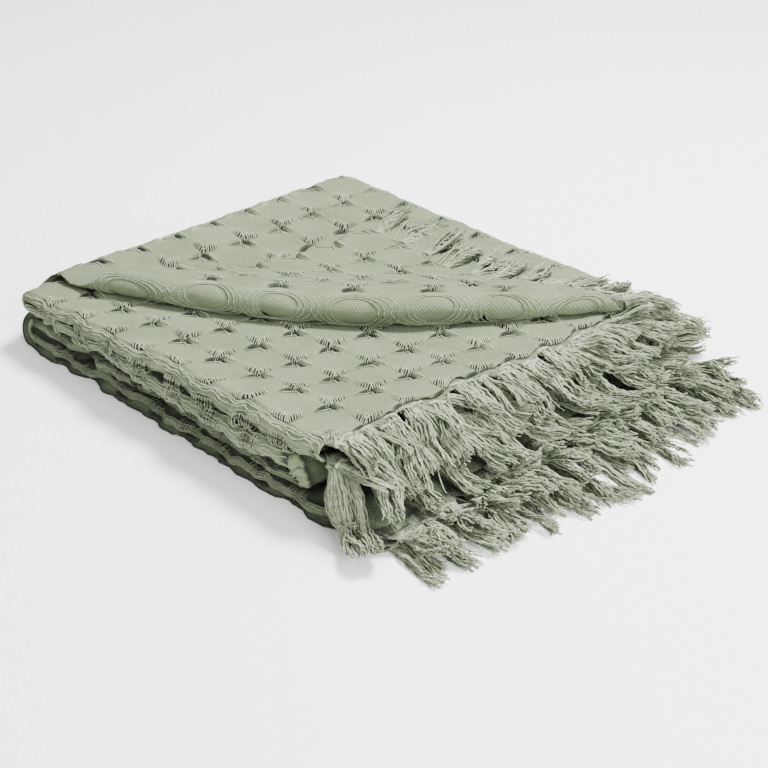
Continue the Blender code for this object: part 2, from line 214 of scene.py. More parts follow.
# The floats round the folds and turns, and the yarns along them
COMB_YARNS = 9
COMB_BREADTH = 0.52       # over a cell's side
COMB_BEYOND = 0.022       # how far its yarns go on over the next third or run
COMB_LEANS = (-1.0, -0.5, 0.0, 0.0, 0.0, 0.0, 0.0, 0.5, 1.0)
EDGE_LINES = (0.06, 0.16, 0.27, 0.40, 0.55, 0.70, 0.86)
FEW_EDGE_LINES = (0.20, 0.50, 0.80)
EDGE_LINE_STEPS = 150
# Painted shade of the yarns along the turns
TURN_LINE_PAINTED_SHADE = 0.2
SELVEDGE_STEPS = 520
SELVEDGE_YARN = 1.1 * MM

# Unevenness: everywhere, along the near side and along the front
DRIFT = mm(2.2, 2.6, 2.0)
NEAR_DRIFT = mm(8.0, 4.5, 4.2, 2.4)
FRONT_DRIFT = mm(7.0, 5.0)

# Colours in linear light
WOVEN_COLOURS = ((0.164, 0.200, 0.118), (0.088, 0.112, 0.060))
YARN_COLOURS = ((0.370, 0.428, 0.288), (0.135, 0.165, 0.096))
# The dark colour that painted shade mixes in, where shade falls between and under the yarns
PAINTED_SHADE_COLOUR = (0.010, 0.013, 0.008)
FLOOR_COLOUR = (0.93, 0.93, 0.925)

# The camera, worked out from the pile's corners in the photograph
AIM = Vector((0.219, 0.2165, 0.03))
DISTANCE = 1.5
AZIMUTH = radians(45.47)
ELEVATION = radians(28.56)
FOCAL_PIXELS = 1525.0
CENTRE_PIXEL = (333.9, 316.2)
IMAGE_PIXELS = 768.0
SENSOR = 36.0

# How finely the flat sheet is divided before it is folded
PANEL_STEPS = 27
FOLD_STEPS = 10
TURN_STEPS = 10
FINE_CUTS = 4
EDGE_CUTS = 2


def blend(first, second, share):
    return first + (second - first) * share


def clamp(value, low=0.0, high=1.0):
    return max(low, min(high, value))


def ease(share):
    return 0.5 - 0.5 * cos(pi * clamp(share))


def falloff(*terms):
    """1 where every value is 0, less past its reach, and the more abruptly the higher its power."""
    return exp(-sum((value / reach) ** power for value, reach, power in terms))


def parts(width, length):
    """The third or fold, and the run or turn, that hold a place of the cloth."""
    return min(int(width), 4), clamp(floor(length), 0, 6)


def diagonal(x, y):
    """Plan x and y as distances along the diagonal and in front of it, or such distances as x and y."""
    return (x + y) / ROOT_TWO, (x - y) / ROOT_TWO


def layer_height(run, third, x, y):
    """Height of a layer's middle over a point of the plan."""
    left, front, right, back = LAYERS[run, third]
    along = clamp(x / FRONT_X)
    across = clamp(y / PANEL_WIDTH)
    height = blend(blend(left, front, along), blend(back, right, along), across)
    dip = 16.0 * along * (1.0 - along) * across * (1.0 - across)
    lowest = LAYERS[0, 0][0]
    return (lowest + (height - lowest) * (1.0 - SAG * dip)) * MM


def section(run, width, x):
    """Plan y and height of one run at x."""
    sizes = RUNS[run]
    stretch = min(int(width), 4)
    share = width - stretch
    ends = (
        (sizes["near_selvedge"], sizes["far_fold"]),
        (sizes["far_fold"], 1.0),
        (sizes["far_fold"], sizes["near_fold"]),
        (sizes["near_fold"], -1.0),
        (sizes["near_fold"], sizes["far_selvedge"]),
    )[stretch]
    if stretch % 2 == 0:
        y = blend(*ends, share)
        return y, layer_height(run, stretch // 2, x, y)
    y, outward = ends
    first = layer_height(run, stretch // 2, x, y)
    second = layer_height(run, stretch // 2 + 1, x, y)
    half = (first - second) / 2.0
    angle = pi * share
    y += outward * BULGE * abs(half) * sin(angle)
    return y, (first + second) / 2.0 + half * cos(angle)


def front_of(run, width):
    slack = TOP_SLACK * (1.0 - width) ** 1.5 if run == TOP_RUN and width < 1.0 else 0.0
    return RUNS[run]["front"] + slack


def crease(along):
    """How far in front of the diagonal the roll starts, at a distance along the diagonal."""
    share = clamp(along / DIAGONAL)
    start, rise, bow = CREASE
    return start + rise * share + bow * sin(pi * share ** 1.15) ** 0.9


def roll_radius(along):
    share = clamp(along / DIAGONAL)
    return blend(ROLL_RADIUS_ENDS, ROLL_RADIUS, sin(pi * share) ** 0.6)


def turn_back(point):
    """Rolls what lies in front of the crease up and back over the pile."""
    along, forward = diagonal(point.x, point.y)
    start = crease(along)
    past = forward - start
    if past <= 0.0:
        return point
    radius = roll_radius(along)

    def place(distance):
        return Vector((*diagonal(along, distance), 0.0))

    angle = past / radius
    if angle < pi:
        spot = place(start + radius * sin(angle))
        foot = place(start)
        spot.z = layer_height(TOP_RUN, 0, foot.x, foot.y) + radius * (1.0 - cos(angle))
        return spot
    crowding = FLAP_CROWDING * ease((along - CROWDED_FROM) / CROWDED_OVER)
    behind = (past - pi * radius) * (1.0 - crowding)
    spot = place(start - behind)
    above = blend(2.0 * radius, FLAP_REST, ease(behind / FLAP_SETTLE))
    spot.z = layer_height(TOP_RUN, 0, spot.x, spot.y) + above
    return spot


def cloth_point(width, length):
    """The folded place of a point of the cloth, in plan and height."""
    stretch = parts(width, length)[1]
    share = length - stretch
    run = stretch // 2
    if stretch % 2 == 0:
        front = front_of(run, width)
        x = blend(front, BACK_X, share) if run % 2 == 0 else blend(BACK_X, front, share)
        y, z = section(run, width, x)
        point = Vector((x, y, z))
        return turn_back(point) if run == TOP_RUN and width < 1.0 else point
    at_back = run != 1
    x = BACK_X if at_back else RUNS[run]["front"]
    lower_y, lower = section(run, width, x)
    upper_y, upper = section(run + 1, width, x)
    half = (upper - lower) / 2.0
    angle = pi * share
    reach = BULGE * half * sin(angle)
    y = blend(lower_y, upper_y, ease(share))
    return Vector((x - reach if at_back else x + reach, y, lower + half * (1.0 - cos(angle))))


def cloth_normal(width, length):
    step = 1e-3
    across = cloth_point(min(width + step, 5.0), length) - cloth_point(max(width - step, 0.0), length)
    down = cloth_point(width, min(length + step, 7.0)) - cloth_point(width, max(length - step, 0.0))
    return across.cross(down).normalized()


def top_plan(width, length):
    """Where a point of the top layer lies in plan before its corner is turned back."""
    x = blend(BACK_X, front_of(TOP_RUN, width), length - 6.0)
    return x, section(TOP_RUN, width, x)[0]


def past_crease(width, length):
    """How far a place of the top layer lies in front of the crease."""
    along, forward = diagonal(*top_plan(width, length))
    return forward - crease(along)


# The ways in which the folds and turns face
OUTWARD = {
    "far": Vector((0.0, 1.0, 0.0)),
    "near": Vector((0.0, -1.0, 0.0)),
    "back": Vector((-1.0, 0.0, 0.0)),
    "front": Vector((1.0, 0.0, 0.0)),
}


def outer_sign(width_stretch, length_stretch):
    """Which way along its normal a fold or a turn faces out."""
    if length_stretch % 2:
        way = OUTWARD["front" if length_stretch == 3 else "back"]
    else:
        way = OUTWARD["far" if width_stretch == 1 else "near"]
    return 1.0 if cloth_normal(width_stretch + 0.5, length_stretch + 0.5).dot(way) > 0.0 else -1.0


SIGNS = {(i, j): outer_sign(i, j) for i in range(5) for j in range(7) if i % 2 or j % 2}


def counts(width, length):
    """Number of cells along the run and across the third at a place of the cloth."""
    run = parts(width, length)[1] // 2
    if run == TOP_RUN and width < 1.0:
        return CELLS_OF_FLAP, CELLS_OF_FLAP
    return CELLS_OF_RUN[run], CELLS


def roll_shift(width, length):
    """How far the weave is drawn so that a row of its cells follows the roll, in cells."""
    along, forward = diagonal(*top_plan(width, length))
    past = forward - crease(along)
    x, y = diagonal(along, crease(along) + ROLL_PAST)
    sizes = RUNS[TOP_RUN]
    across = (y - sizes["near_selvedge"]) / (sizes["far_fold"] - sizes["near_selvedge"])
    down = (x - BACK_X) / (front_of(TOP_RUN, clamp(across)) - BACK_X)
    fade = 1.0 - ease((abs(past - ROLL_PAST) - ROLL_HOLDS) / ROLL_FADES)
    return (1.0 - (down - across) * CELLS_OF_FLAP) / 2.0 * fade


def warp(width, length):
    """Place in the weave, counted in cells along and across, drawn a little out of square."""
    wide, stretch = parts(width, length)
    down, over = counts(width, length)
    along = (length - stretch) * down if stretch % 2 == 0 else 0.0
    across = (width - wide) * over
    if stretch < 6 or wide % 2:
        return along, across
    spot = Vector((along * 0.45, across * 0.45, wide * 3.7))
    edge = min(1.0, along, across, over - across, down - along)
    along += WARP * edge * noise(spot) + FINE_WARP * edge * noise(spot * 2.7)
    across += WARP * edge * noise(spot + Vector((4.4, 9.1, 2.0)))
    if wide == 0:
        shift = roll_shift(width, length) * edge
        return along + shift, across - shift
    return along, across


def in_weave(wide, along, across):
    """The cloth's coordinates at a place of the weave on the top run."""
    down, over = counts(wide + 0.5, 6.5)
    width, length = wide + across / over, 6.0 + along / down
    for _ in range(5):
        got_along, got_across = warp(clamp(width, wide + 1e-4, wide + 0.9999), clamp(length, 6.0, 7.0))
        width += (across - got_across) / over
        length += (along - got_along) / down
        width, length = clamp(width, wide + 0.002, wide + 0.998), clamp(length, 6.001, 6.999)
    return width, length


def weave_shares(width, length):
    """Shares of a cell's sides, along the run and across the third."""
    along, across = warp(width, length)
    return along % 1.0, across % 1.0


def cell_shares(width, length):
    """Shares of a top cell's sides in plan, counted so that its far corner is at a 0 and b 1."""
    a, b = weave_shares(width, length)
    if width > 2.0:
        return a, 1.0 - b
    return (b, a) if past_crease(width, length) > 0.0 else (a, b)


def from_borders(a, b):
    """Signed shares from the nearest borders: above 0 in front of the border, below 0 behind it."""
    return (a if a < 0.5 else a - 1.0), (1.0 - b if b > 0.5 else -b)


def left_slit(a, b, at, breadth):
    """How much a place lies in the slit to the left of a cell's far corner, from 0 to 1."""
    from_left = from_borders(a, b)[0]
    return falloff((from_left - at, breadth, 4), (1.0 - b, LONG_SLIT, 6))


def right_slit(a, b, at, breadth):
    """The same to the right of the far corner, where the long floats lie over it."""
    from_right = from_borders(a, b)[1]
    return falloff((from_right - at, breadth, 4), (a, SHORT_SLIT, 4))


def behind_lashes(a, b, at, breadth):
    """How much a place lies behind the floats that hang over the near borders, from 0 to 1."""
    left, right = from_borders(a, b)
    under_right = falloff((left - at, breadth, 4), (b, LASH_REACH, 6))
    under_left = falloff((right - at, breadth, 4), (1.0 - a, LASH_REACH, 6))
    return max(0.9 * under_right, under_left)


def gaps(a, b):
    """Painted shade between the floats: in the slits, behind the lashes and in the corner holes, 0 to 1.
    """
    hole = falloff((hypot(*from_borders(a, b)), HOLE, 4))
    slits = max(left_slit(a, b, -0.004, GAP_BREADTH), 0.9 * right_slit(a, b, 0.008, 0.034))
    return clamp(1.3 * max(slits, 0.85 * behind_lashes(a, b, -0.045, 0.08), hole))


def cell_relief(a, b, size):
    """Relief of one cell at shares a and b of its sides, with its far corner at a 0 and b 1."""
    dimple = exp(-(a * a + (1.0 - b) ** 2) / DIMPLE ** 2)
    edge = min(a, 1.0 - a, b, 1.0 - b)
    dome = (max(sin(pi * a), 0.0) * max(sin(pi * b), 0.0)) ** 0.6
    puff = PUFF * (1.0 - dimple) * (1.0 - VALLEY * falloff((edge, 0.10, 2)))
    slits = max(left_slit(a, b, SLIT_AT, SLIT_BREADTH), 0.6 * right_slit(a, b, SLIT_AT, SLIT_BREADTH))
    fall = SLIT * slits + LASH_DROP * behind_lashes(a, b, 0.0, 0.07)
    return puff + (size - 1.0) * PUFF * dome - fall


def oval_reach(a, b):
    """Distance from the middle of a cell on the roll, over the half axes of its oval."""
    return hypot((a + b - 1.0) / OVAL[0], (a - b) / OVAL[1])


def oval_relief(a, b):
    reach = oval_reach(a, b)
    inside = sqrt(max(1.0 - reach * reach, 0.0))
    return OVAL_PUFF * inside + 1.5 * MM - OVAL_GROOVE * falloff((reach - 1.0, 0.18, 2))


def on_roll(width, length):
    """Share of the roll's own relief at a place of the top third."""
    past = past_crease(width, length)
    low, high = ROLL_BREADTH
    return ease((past - low + 0.006) / 0.006) * (1.0 - ease((past - high) / 0.008))


def cell_size(i, j):
    return 0.84 + 0.32 * cell(Vector((i * 1.7 + 0.3, j * 2.3 + 0.1, TOP_RUN * 5.1)))


def hollow(width, length):
    """Painted shade of the cloth: between the floats, round the ovals, at cells' borders and on the folds.
    """
    if length >= 6.0 and (width < 1.0 or 2.0 < width < 3.0):
        a, b = cell_shares(width, length)
        flat = gaps(a, b)
        if width > 1.0:
            return flat
        ringed = RING_PAINTED_SHADE * falloff((oval_reach(a, b) - 1.0, 0.16, 2))
        return blend(flat, ringed, on_roll(width, length))
    a, b = weave_shares(width, length)
    if int(length) % 2:
        a = 0.5
    thin = 0.0
    if int(width) % 2:
        b = 0.5
        share = width % 1.0
        spot = Vector((unfolded(length) * 90.0, share * 3.0, int(width) * 7.7 + int(length) * 3.1))
        dashes = clamp(0.1 + 1.5 * noise(spot)) * ease(share * 5.0)
        if length > 6.0 and share < 0.5:
            return 0.8 * dashes
        share = clamp(share + 0.2 * noise(spot * 0.4))
        thin = max(0.75 * (1.0 - sin(pi * share) ** 1.5), 0.7 * dashes)
    edge = min(a, 1.0 - a, b, 1.0 - b)
    return max(BORDER_PAINTED_SHADE * falloff((edge, 0.24, 4)), thin)


def relief(width, length):
    """How far the cloth stands along its normal from the plain fold."""
    wide, stretch = parts(width, length)
    share_wide, share_long = width - wide, length - stretch
    along, across = warp(width, length)
    a, b = along % 1.0, across % 1.0
    if wide % 2 or stretch % 2:
        height = FOLD_PUFF[(stretch + 1) // 2] * SIGNS[wide, stretch]
        height *= sin(pi * share_wide) ** 0.5 if wide % 2 else sin(pi * b) ** 1.2 - 0.3
        height *= sin(pi * share_long) ** 0.5 if stretch % 2 else sin(pi * a) ** 1.2 - 0.3
        return height
    if stretch < 6 or wide == 4:
        return HIDDEN_PUFF * sin(pi * a) ** 2 * sin(pi * b) ** 2
    a, b = cell_shares(width, length)
    puffed = cell_relief(a, b, cell_size(floor(along), floor(across)))
    if wide == 2:
        x, y = top_plan(width, length)
        return puffed * ease(hypot(x - RUNS[TOP_RUN]["front"], y) / 0.07)
    side = clamp(past_crease(width, length) / 0.012, -1.0, 1.0)
    return blend(puffed, oval_relief(a, b), on_roll(width, length)) * side


def drift(point, width, length):
    """Unevenness of the pile: slow everywhere, and quicker at the folds and selvedges that show."""
    spot = Vector((point.x * 9.0, point.y * 9.0, point.z * 30.0))
    off_floor = clamp(point.z / 0.010)
    shift = Vector((
        DRIFT[0] * noise(spot),
        DRIFT[1] * noise(spot + Vector((7.3, 1.9, 4.0))),
        DRIFT[2] * noise(spot * 1.4 + Vector((2.1, 8.8, 3.0))) * off_floor,
    ))
    near_edge = clamp(1.0 - abs(point.y) / 0.03) * ease(point.x / 0.06)
    stretch = parts(width, length)[1]
    level = stretch if stretch % 2 == 0 else stretch - 1.0 + 2.0 * (length - stretch)
    row = Vector((point.x * 30.0, 0.0 if width < 2.0 else 4.3, level * 2.9))
    raised = Vector((5.1, 3.3, 8.7))
    shift.y += NEAR_DRIFT[0] * noise(row) * near_edge
    shift.y += NEAR_DRIFT[1] * noise(row * 2.6) * near_edge
    shift.z += NEAR_DRIFT[2] * noise(row + raised) * near_edge * off_floor
    shift.z += NEAR_DRIFT[3] * noise(row * 2.9 + Vector((1.1, 3.9, 2.7))) * near_edge * off_floor
    front_edge = clamp((point.x - RUNS[stretch // 2]["front"]) / 0.02 + 1.0)
    row = Vector((point.y * 34.0, 6.6 + floor((width + 0.5) / 2.0) * 4.3, level * 2.9))
    shift.x += FRONT_DRIFT[0] * noise(row) * front_edge
    shift.z += FRONT_DRIFT[1] * noise(row + raised) * front_edge * off_floor
    return shift


def scallop(width, length):
    """The selvedges are drawn in between the cells."""
    along, across = warp(width, length)
    from_edge = across if width < 1.0 else counts(width, length)[1] - across
    if from_edge >= 1.0:
        return 0.0
    out = SCALLOP * (sin(pi * along) ** 2 - 0.5) * (1.0 - from_edge) ** 2
    return -out if width < 1.0 else out


def surface(width, length):
    """A point of the finished cloth, in the model's frame, and its normal."""
    point = cloth_point(width, length)
    normal = cloth_normal(width, length)
    point = point + drift(point, width, length)
    if width < 1.0 or width > 4.0:
        shift = scallop(width, length)
        turned = length > 6.0 and width < 1.0 and past_crease(width, length) > 0.0
        point += Vector((shift, 0.0, 0.0)) if turned else Vector((0.0, shift, 0.0))
    point += normal * relief(width, length)
    point.z = max(point.z, SHEET * 0.7)
    return point - ORIGIN, normal


def flat_sheet():
    across = (PANEL_STEPS, FOLD_STEPS, PANEL_STEPS, FOLD_STEPS, PANEL_STEPS)
    down = (PANEL_STEPS, TURN_STEPS, PANEL_STEPS, TURN_STEPS, PANEL_STEPS, TURN_STEPS, PANEL_STEPS)
    widths = [0.0] + [i + (k + 1) / count for i, count in enumerate(across) for k in range(count)]
    lengths = [0.0] + [i + (k + 1) / count for i, count in enumerate(down) for k in range(count)]
    sheet = bmesh.new()
    rows = [[sheet.verts.new((width, length, 0.0)) for width in widths] for length in lengths]
    for lower, upper in zip(rows, rows[1:]):
        for i in range(len(widths) - 1):
            sheet.faces.new((lower[i], lower[i + 1], upper[i + 1], upper[i]))
    return sheet


def shows(width, length):
    """Whether a place of the top run is seen, or lies next to one that is."""
    if length < 6.0:
        return False
    x, y = top_plan(width, length)
    past = past_crease(width, length)
    if width < 1.0:
        return past > -0.018 or x < 0.14 or y > 0.32
    return 2.0 < width < 3.0 and past > -0.03


def divide(sheet):
    """Cuts the part that shows finely, and the near side across its width."""
    fine = set()
    for face in sheet.faces:
        middle = face.calc_center_median()
        if shows(middle.x, middle.y):
            fine.update(face.edges)
    bmesh.ops.subdivide_edges(sheet, edges=list(fine), cuts=FINE_CUTS, use_grid_fill=True)
    edges = []
    for edge in sheet.edges:
        middle = (edge.verts[0].co + edge.verts[1].co) / 2.0
        along = abs(edge.verts[0].co.x - edge.verts[1].co.x) < 1e-6
        long_enough = abs(edge.verts[0].co.y - edge.verts[1].co.y) > 0.9 / PANEL_STEPS
        if along and long_enough and (3.0 <= middle.x <= 4.0 or middle.x < 0.12):
            edges.append(edge)
    bmesh.ops.subdivide_edges(sheet, edges=edges, cuts=EDGE_CUTS, use_grid_fill=True)


def crowd(place, gather):
    """Moves a place of the weave, counted in cells, towards the nearest border."""
    return place - gather * sin(2.0 * pi * place) / (2.0 * pi)


def crowd_points(sheet):
    """Puts more of the sheet's points at the borders of the weave's cells."""
    for vert in sheet.verts:
        wide, stretch = parts(vert.co.x + 1e-6, vert.co.y + 1e-6)
        share_wide, share_long = vert.co.x - wide, vert.co.y - stretch
        down, over = counts(wide + 0.5, stretch + 0.5)
        across = crowd(share_wide * over, GATHER[wide])
        if wide % 2 or stretch % 2:
            continue
        if stretch < 6 or wide == 4:
            vert.co.x = wide + across / over
            continue
        along = crowd(share_long * down, GATHER[wide])
        inside = 1e-4 < share_wide < 0.9999 and 1e-4 < share_long < 0.9999
        if inside:
            vert.co.x, vert.co.y = in_weave(wide, along, across)
        else:
            vert.co.x, vert.co.y = wide + across / over, stretch + along / down


def unfolded(place):
    """Distance along the flat cloth, with every fold and turn taken as FOLD_LENGTH long."""
    stretch = int(place)
    share = place - stretch
    passed = (stretch + 1) // 2 * PANEL_WIDTH + stretch // 2 * FOLD_LENGTH
    return passed + share * (FOLD_LENGTH if stretch % 2 else PANEL_WIDTH)


def add_object(name, data):
    result = bpy.data.objects.new(name, data)
    bpy.context.scene.collection.objects.link(result)
    return result


def make_sheet(finish):
    sheet = flat_sheet()
    divide(sheet)
    crowd_points(sheet)
    plan = sheet.loops.layers.uv.new("cloth")
    # A point attribute of painted shade, which the material mixes into the colour
    between = sheet.verts.layers.float.new("hollow")
    for face in sheet.faces:
        face.smooth = True
        for loop in face.loops:
            loop[plan].uv = (unfolded(loop.vert.co.x), unfolded(loop.vert.co.y))
    for vert in sheet.verts:
        vert[between] = hollow(vert.co.x, vert.co.y)
        vert.co = surface(vert.co.x, vert.co.y)[0]
    sheet.normal_update()
    mesh = bpy.data.meshes.new("woven_cloth")
    sheet.to_mesh(mesh)
    sheet.free()
    mesh.materials.append(finish)
    cloth = add_object("woven_cloth", mesh)
    thickness = cloth.modifiers.new("thickness", "SOLIDIFY")
    thickness.thickness = SHEET
    thickness.offset = 0.0
    return cloth


class Strands:
    """Thin tubes along lines of points, made into one mesh."""

    def __init__(self, sides):
        self.sides = sides
        self.verts, self.faces, self.painted_shades = [], [], []

    def add(self, points, radius, tip=0.6, hollow=0.0):
        """A tube along the points. Tip is its end's radius over the rest's, and the last argument its
        painted shade.
        """
        count, sides = len(points), self.sides
        start = len(self.verts)
        for k, point in enumerate(points):
            before, after = points[max(k - 1, 0)], points[min(k + 1, count - 1)]
            way = (after - before).normalized()
            side = way.cross(Vector((0.31, 0.17, 0.93)))
            side = side.normalized() if side.length > 1e-6 else way.orthogonal().normalized()
            up = side.cross(way)
            size = radius * blend(1.0, tip, clamp((k / (count - 1) - 0.85) / 0.15))
            for n in range(sides):
                angle = 2.0 * pi * n / sides
                corner = point + side * (size * cos(angle)) + up * (size * sin(angle))
                corner.z = max(corner.z, 0.0)
                self.verts.append(corner)
        painted_shades = hollow if isinstance(hollow, list) else [hollow] * count
        self.painted_shades.extend(value for value in painted_shades for _ in range(sides))
        for k in range(count - 1):
            row = start + k * sides
            for n in range(sides):
                following = (n + 1) % sides
                self.faces.append((row + n, row + following, row + sides + following, row + sides + n))
        last = start + (count - 1) * sides
        self.faces.append(tuple(start + n for n in reversed(range(sides))))
        self.faces.append(tuple(last + n for n in range(sides)))

    def make(self, name, finish):
        mesh = bpy.data.meshes.new(name)
        mesh.from_pydata([tuple(co) for co in self.verts], [], self.faces)
        # Painted shade, one value for each point, which the material mixes into the colour
        between = mesh.attributes.new("hollow", "FLOAT", "POINT")
        between.data.foreach_set("value", self.painted_shades)
        mesh.polygons.foreach_set("use_smooth", [True] * len(mesh.polygons))
        mesh.materials.append(finish)
        return add_object(name, mesh)


def outer_side(width, length):
    """The side of the top run's cloth that shows, along its normal."""
    if width > 1.0:
        return 1.0
    return 1.0 if past_crease(width, length) > TURNED_PAST else -1.0


def over_cloth(strands, places, heights, radius, tip=0.8, hollow=0.0):
    """A yarn over places of the cloth, at heights above the cloth's outer face."""
    points = []
    for place, height in zip(places, heights):
        base, normal = surface(*place)
        points.append(base + normal * (outer_side(*place) * (SHEET / 2.0 + height)))
    strands.add(points, radius, tip, hollow)


class TopCell:
    """One cell of the top run, with places counted by shares a and b as in cell_shares."""

    def __init__(self, wide, across, along):
        self.wide, self.across, self.along = wide, across, along
        self.middle = in_weave(wide, along + 0.5, across + 0.5)
        self.turned = wide == 0 and past_crease(*self.middle) > 0.0

    def place(self, a, b):
        if self.wide == 2:
            return in_weave(2, self.along + a, self.across + 1.0 - b)
        if self.turned:
            return in_weave(0, self.along + b, self.across + a)
        return in_weave(0, self.along + a, self.across + b)

    def rolled(self):
        return self.wide == 0 and 0.006 < past_crease(*self.middle) < 0.042


def reaches_roll(spot, places):
    """Whether a float of a cell comes onto the roll, which has rings in its place."""
    return spot.wide == 0 and any(on_roll(*place) > 0.3 for place in places)


def lashes(strands, spot, chance):
    """The floats that go down over the near borders of a cell, longest beside the near corner."""
    for border in range(2):
        spread = LASH_REACH * chance.uniform(0.85, 1.15) * (1.1 if border else 0.95)
        for k in range(LASHES):
            share = (k + 0.5 + chance.uniform(-0.25, 0.25)) / LASHES
            along = 1.0 - share * spread
            reach = blend(1.1, 0.65, share) * chance.uniform(0.85, 1.15)
            lean = blend(0.13, 0.07, share) + chance.uniform(-0.012, 0.012)
            places = []
            for step in LASH_STEPS:
                slant = along - lean * step / LASH_STEPS[0]
                if border:
                    places.append(spot.place(slant, step * reach))
                else:
                    places.append(spot.place(1.0 - step * reach, 1.0 - slant))
            if not reaches_roll(spot, places):
                heights = [height * blend(1.0, 0.5, share) for height in LASH_HEIGHTS]
                over_cloth(strands, places, heights, chance.uniform(0.5, 0.66) * MM)


def long_floats(strands, spot, chance):
    """Three floats side by side that start at the far corner and run along the border to the right."""
    for k in range(3):
        reach = chance.uniform(0.36, 0.46) - 0.04 * k
        across = 1.025 - 0.05 * k
        places, heights = [], []
        for n in range(9):
            share = n / 8
            places.append(spot.place(blend(-0.05, reach, share), across - 0.07 * share * (k - 0.4)))
            heights.append(blend(-0.6, 2.0 - 0.3 * k, sin(pi * share) ** 0.6) * MM)
        if not reaches_roll(spot, places):
            over_cloth(strands, places, heights, chance.uniform(0.55, 0.7) * MM)


def slit_rim(strands, spot, chance):
    """The cord along the slit to the left of the far corner. It hooks round the slit's end."""
    reach = chance.uniform(0.34, 0.42)
    for k in range(2):
        places = []
        for n in range(8):
            share = n / 7
            places.append(spot.place(0.105 + 0.035 * k - 0.02 * share, blend(0.97, 1.0 - reach, share)))
        places.append(spot.place(0.05 + 0.02 * k, 0.97 - reach))
        places.append(spot.place(-0.01, 0.98 - reach))
        places.append(spot.place(-0.05, 1.01 - reach))
        if not reaches_roll(spot, places):
            heights = [-0.4 * MM] + [(0.5 + 0.3 * k) * MM] * 8 + [0.3 * MM, -0.5 * MM]
            over_cloth(strands, places, heights, chance.uniform(0.5, 0.65) * MM)


def oval_rings(strands, spot):
    """The yarns round an oval of the roll, the outer ones drawn towards the cell's corners."""
    for reach, bulge, height in RINGS:
        places = []
        for k in range(RING_STEPS + 1):
            angle = 2.0 * pi * k / RING_STEPS
            size = reach * (1.0 + bulge * cos(2.0 * angle))
            lengthwise = OVAL[0] * size * cos(angle) / 2.0
            upright = OVAL[1] * size * sin(angle) / 2.0
            places.append(spot.place(0.5 + lengthwise + upright, 0.5 + lengthwise - upright))
        # A little painted shade on the ring yarns
        over_cloth(strands, places, [height * MM] * len(places), 0.5 * MM, tip=1.0, hollow=0.2)


def make_floats(finish):
    """The floats of the honeycomb on the top run."""
    chance = random.Random(11)
    strands = Strands(3)
    for wide in (0, 2):
        down, over = counts(wide + 0.5, 6.5)
        for i in range(over):
            for j in range(down):
                spot = TopCell(wide, i, j)
                if not shows(*spot.middle):
                    continue
                if spot.rolled():
                    oval_rings(strands, spot)
                lashes(strands, spot, chance)
                long_floats(strands, spot, chance)
                slit_rim(strands, spot, chance)
    return strands.make("float_yarns", finish)


def comb(strands, fold, number, count, chance):
    """Floats that wrap round a fold or a turn at one of the borders between its cells."""
    wide, stretch = fold
    on_fold = wide % 2 == 1
    start, beside = (wide, stretch) if on_fold else (stretch, wide)
    crossing = [start - COMB_BEYOND, start] + [start + (n + 1) / 6 for n in range(5)]
    crossing += [start + 1, start + 1 + COMB_BEYOND]
    loosely = chance.uniform(0.6, 1.1)
    for k in range(COMB_YARNS):
        offset = ((k + 0.5) / COMB_YARNS - 0.5) * COMB_BREADTH + chance.uniform(-0.015, 0.015)
        middle = beside + (number + offset) / count
        lean = chance.uniform(-0.06, 0.06) / count if on_fold else 0.0
        lane = [middle + lean * share for share in COMB_LEANS]
        places = list(zip(crossing, lane) if on_fold else zip(lane, crossing))
        wrap(strands, places, SIGNS[fold], stretch // 2, loosely, chance)


def make_side_floats(finish):
    """Combs of floats that wrap round the folds and turns between their puffs."""
    chance = random.Random(23)
    strands = Strands(3)
    for run, count in enumerate(CELLS_OF_RUN):
        for wide in (1, 3):
            for j in range(1, count):
                comb(strands, (wide, 2 * run), j, count, chance)
    for stretch in (1, 3, 5):
        for wide in (0, 2, 4):
            for i in range(1, CELLS):
                comb(strands, (wide, stretch), i, CELLS, chance)
    edge_lines(strands, chance)
    return strands.make("side_float_yarns", finish)


def edge_line(strands, fold, share, chance):
    """A yarn that runs along a fold or turn, drawn up and down by the weave."""
    wide, stretch = fold
    on_fold = wide % 2 == 1
    wander = chance.uniform(0.06, 0.12)
    points = []
    for k in range(EDGE_LINE_STEPS):
        spot = Vector((k * 0.33, share * 9.0, stretch * 2.65 + wide * 0.7))
        across = clamp(share + wander * noise(spot), 0.01, 0.99)
        along = (k + 0.5) / EDGE_LINE_STEPS
        place = (wide + across, stretch + along) if on_fold else (wide + along, stretch + across)
        base, normal = surface(*place)
        above = SHEET / 2.0 + 0.3 * MM + 1.2 * MM * noise(spot * 1.3 + Vector((3.0, 1.0, 2.0)))
        points.append(base + normal * (SIGNS[fold] * above))
    # Painted shade, more on the lower runs' folds
    painted_shade_here = EDGE_LINE_PAINTED_SHADE[stretch // 2] if on_fold else TURN_LINE_PAINTED_SHADE
    strands.add(points, chance.uniform(0.45, 0.65) * MM, tip=1.0, hollow=painted_shade_here)


def edge_lines(strands, chance):
    """The yarns along the folds and turns, most of them on the near side."""
    for run in range(4):
        for wide, shares in ((3, EDGE_LINES), (1, FEW_EDGE_LINES)):
            for share in shares:
                edge_line(strands, (wide, 2 * run), share, chance)
    for stretch in (1, 5):
        for wide in (0, 2, 4):
            for share in FEW_EDGE_LINES:
                edge_line(strands, (wide, stretch), share, chance)


def wrap(strands, places, side, run, loosely, chance):
    """A float that stands a little off a fold as it goes round it."""
    loosely *= chance.uniform(0.85, 1.15)
    points = []
    for k, place in enumerate(places):
        base, normal = surface(*place)
        bow = loosely * sin(pi * k / (len(places) - 1))
        point = base + normal * (side * (SHEET / 2.0 + COMB_SLACK[run] * bow - 0.2 * MM))
        point.z -= COMB_SAG[run] * bow
        points.append(point)
    strands.add(points, chance.uniform(0.6, 0.8) * MM, tip=0.9, hollow=COMB_PAINTED_SHADE[run])


